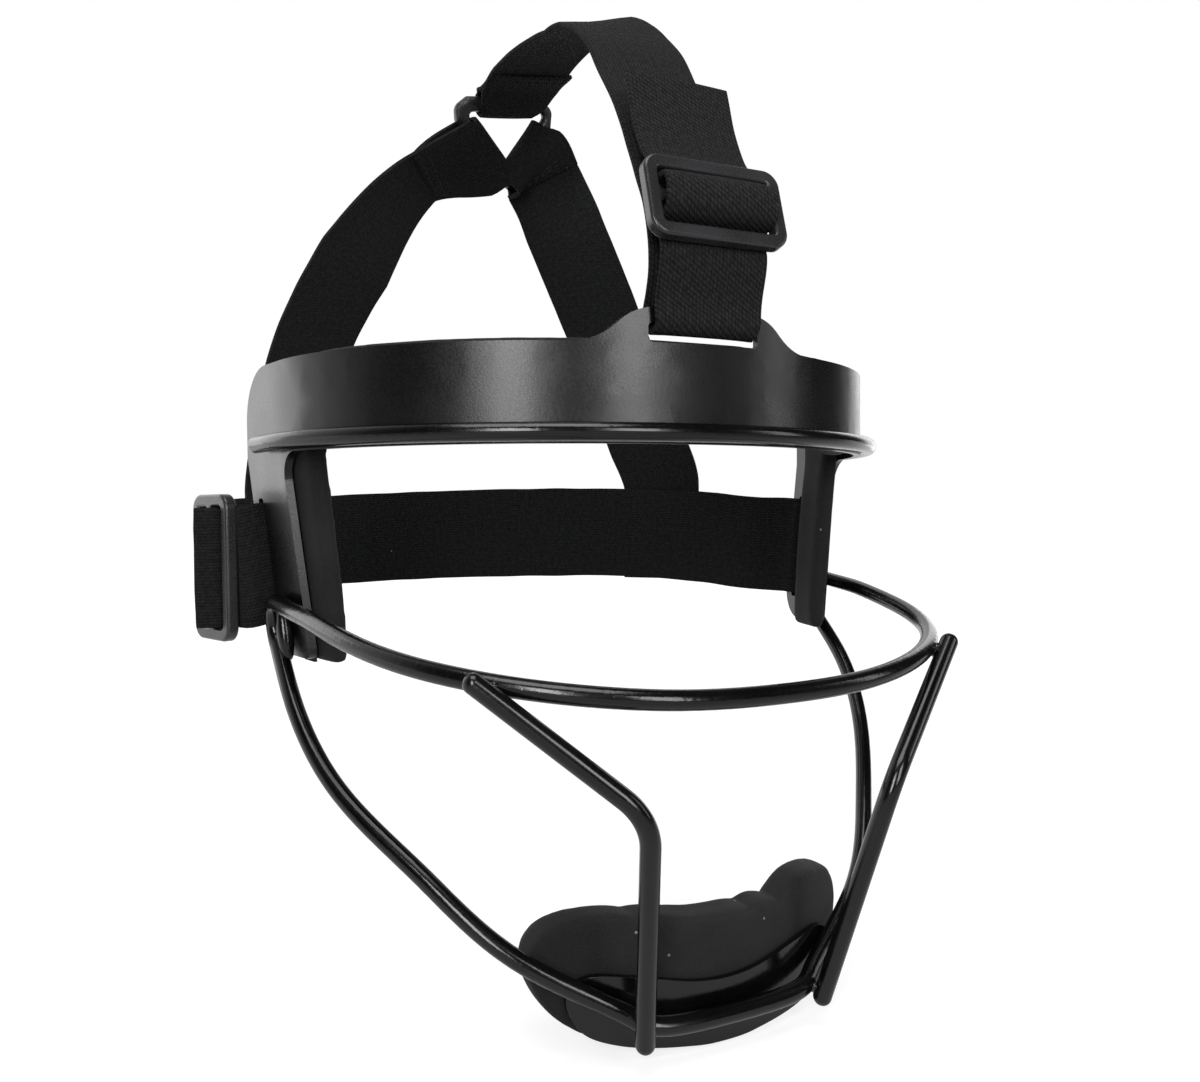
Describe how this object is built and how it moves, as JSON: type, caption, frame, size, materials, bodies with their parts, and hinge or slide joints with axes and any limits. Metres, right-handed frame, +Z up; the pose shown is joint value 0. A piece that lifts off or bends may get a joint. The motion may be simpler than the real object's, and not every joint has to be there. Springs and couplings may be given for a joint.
{
  "type": "softball face guard",
  "caption": "Open wire face guard with a padded brow band, side legs, nose wires and chin plate, held by an adjustable crown strap and back strap.",
  "frame": {"origin": "middle of the head's place: on the mid plane, at the height of the brow wire and at the widest part of the brow's curve", "axes": "+Z up, -Y forwards out of the mask, +X to the wearer's left"},
  "size_m": [0.2151, 0.2144, 0.2892],
  "materials": {
    "band_paint": "satin powder coat",
    "wire_paint": "glossy powder coat",
    "plate_paint": "glossy powder coat",
    "foam": "matt closed-cell foam with a fine grain",
    "tape": "matt tape",
    "crown_webbing": "ribbed elastic weave",
    "back_webbing": "ribbed elastic weave, slightly heathered",
    "slider_plastic": "satin moulded plastic",
    "ring_plastic": "satin moulded plastic"
  },
  "bodies": {
    "guard": {"brow_plate": "band_paint", "brow_wire": "wire_paint", "face_wire": "wire_paint", "nose_wire_right": "wire_paint", "nose_wire_left": "wire_paint", "chin_plate": "plate_paint", "weld_beads": "wire_paint", "brow_pad": "foam", "side_pad_right": "foam", "side_pad_left": "foam", "chin_pad": "foam", "brow_pad_tape": "tape", "side_pad_tape_right": "tape", "side_pad_tape_left": "tape", "chin_pad_tape": "tape", "top_strap": "crown_webbing", "top_strap_loop": "crown_webbing", "rear_strap_right": "crown_webbing", "rear_strap_left": "crown_webbing", "back_strap": "back_webbing", "back_strap_loop": "back_webbing"},
    "top_slider": {"top_slider": "slider_plastic"},
    "back_slider": {"back_slider": "slider_plastic"},
    "rear_ring": {"rear_ring": "ring_plastic"}
  },
  "joints": [
    {"name": "top_slider_slide", "type": "slide", "parent": "guard", "child": "top_slider", "axis": [0, 0.2706, 0.9627], "range_m": [-0.006, 0.008], "deforming": ["top_strap_loop"]},
    {"name": "back_slider_slide", "type": "slide", "parent": "guard", "child": "back_slider", "axis": [0.0872, 0.9962, 0], "range_m": [-0.006, 0.006], "deforming": ["back_strap_loop"]},
    {"name": "rear_ring_swing", "type": "hinge", "parent": "guard", "child": "rear_ring", "pos_m": [0, 0.0576, 0.131], "axis": [0.9796, 0.0978, 0.1754], "range_deg": [-2, 2]}
  ]
}
